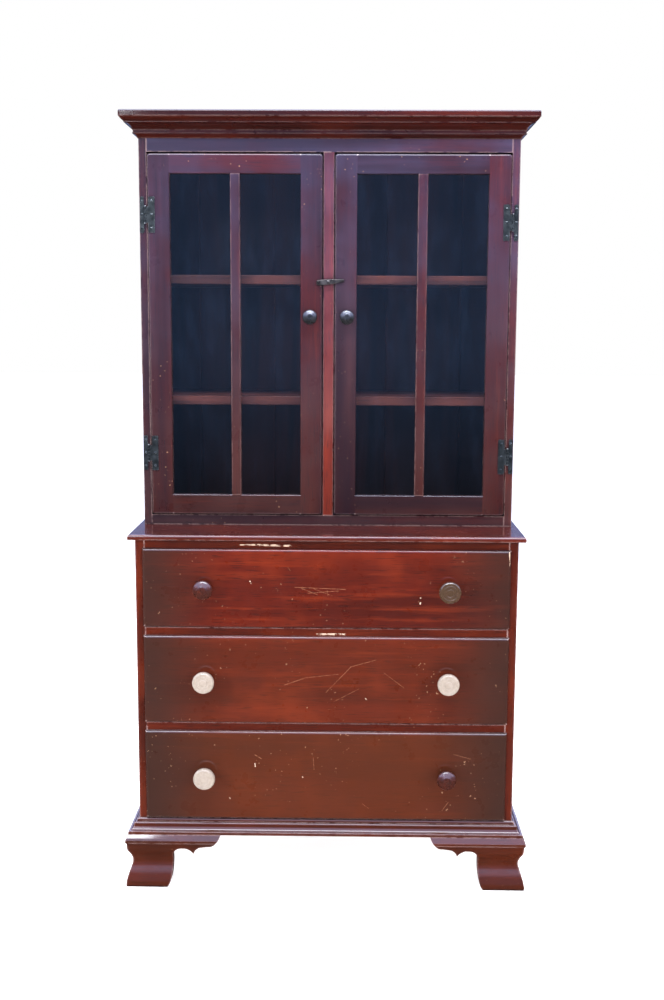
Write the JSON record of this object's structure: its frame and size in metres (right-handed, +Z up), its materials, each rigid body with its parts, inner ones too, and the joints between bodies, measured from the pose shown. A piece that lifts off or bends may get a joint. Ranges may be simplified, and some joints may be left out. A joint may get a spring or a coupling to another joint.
{
  "type": "china cabinet with glass doors",
  "caption": "Step-back china cabinet: an upper case with glazed doors, shelves and a turn button, on a chest of wide drawers with ogee bracket feet.",
  "frame": {"origin": "on the floor, under the centre of the whole object's box", "axes": "+Z up, -Y out of the cabinet's front, +X to the right of a person facing the front"},
  "size_m": [0.996, 0.501, 1.87],
  "materials": {
    "mahogany": "glossy red mahogany stain and varnish, worn",
    "dark_interior": "dark red-brown stain, satin",
    "bare_poplar": "unfinished, aged",
    "bare_pine": "unfinished, aged",
    "brown_wood": "polished dark brown",
    "cream_wood": "pale bare wood, worn smooth",
    "window_glass": "clear",
    "aged_steel": "dark oxidised, rubbed bright on edges",
    "dark_bronze": "dark brown patina, rubbed glossy"
  },
  "bodies": {
    "case": {"chest_side_left": "mahogany", "chest_side_right": "mahogany", "chest_top_rail": "mahogany", "chest_divider_rails": "mahogany", "chest_bottom_rail": "mahogany", "chest_back": "bare_pine", "chest_floor": "bare_pine", "drawer_runners": "bare_pine", "waist_board": "mahogany", "base_moulding": "mahogany", "foot_front_left": "mahogany", "foot_front_right": "mahogany", "foot_rear_left": "mahogany", "foot_rear_right": "mahogany", "foot_glue_blocks": "bare_pine", "upper_side_left": "mahogany", "upper_side_right": "mahogany", "upper_top_board": "dark_interior", "upper_floor_board": "dark_interior", "upper_top_rail": "mahogany", "upper_bottom_rail": "mahogany", "centre_mullion": "mahogany", "upper_back_boards": "dark_interior", "shelf_upper": "dark_interior", "shelf_lower": "dark_interior", "shelf_cleats": "dark_interior", "cornice_moulding": "mahogany", "cornice_cap": "mahogany", "hinge_frame_leaves": "aged_steel", "hinge_pins": "aged_steel", "hinge_frame_screws": "aged_steel", "latch_screw": "aged_steel"},
    "turn_button": {"latch_button": "aged_steel"},
    "door_left": {"door_left_stiles": "mahogany", "door_left_rails": "mahogany", "door_left_muntin": "mahogany", "door_left_glass": "window_glass", "door_left_glazing_beads": "mahogany", "door_left_knob": "dark_bronze", "door_left_hinge_leaves": "aged_steel"},
    "door_right": {"door_right_stiles": "mahogany", "door_right_rails": "mahogany", "door_right_muntin": "mahogany", "door_right_glass": "window_glass", "door_right_glazing_beads": "mahogany", "door_right_knob": "dark_bronze", "door_right_hinge_leaves": "aged_steel"},
    "drawer_top": {"drawer_top_front": "mahogany", "drawer_top_box": "bare_poplar", "drawer_top_bottom": "bare_poplar", "drawer_top_knobs": "brown_wood"},
    "drawer_middle": {"drawer_middle_front": "mahogany", "drawer_middle_box": "bare_poplar", "drawer_middle_bottom": "bare_poplar", "drawer_middle_knobs": "cream_wood"},
    "drawer_bottom": {"drawer_bottom_front": "mahogany", "drawer_bottom_box": "bare_poplar", "drawer_bottom_bottom": "bare_poplar", "drawer_bottom_knob_left": "cream_wood", "drawer_bottom_knob_right": "brown_wood"}
  },
  "joints": [
    {"name": "door_left_hinge", "type": "hinge", "parent": "case", "child": "door_left", "pos_m": [-0.4425, -0.0651, 1.34], "axis": [0, 0, -1], "range_deg": [0, 170]},
    {"name": "door_right_hinge", "type": "hinge", "parent": "case", "child": "door_right", "pos_m": [0.4425, -0.0651, 1.34], "axis": [0, 0, 1], "range_deg": [0, 170]},
    {"name": "drawer_top_slide", "type": "slide", "parent": "case", "child": "drawer_top", "axis": [0, -1, 0], "range_m": [0, 0.3]},
    {"name": "drawer_middle_slide", "type": "slide", "parent": "case", "child": "drawer_middle", "axis": [0, -1, 0], "range_m": [0, 0.3]},
    {"name": "drawer_bottom_slide", "type": "slide", "parent": "case", "child": "drawer_bottom", "axis": [0, -1, 0], "range_m": [0, 0.3]},
    {"name": "turn_button_pivot", "type": "hinge", "parent": "case", "child": "turn_button", "pos_m": [0, -0.0693, 1.472], "axis": [0, -1, 0], "continuous": true}
  ]
}
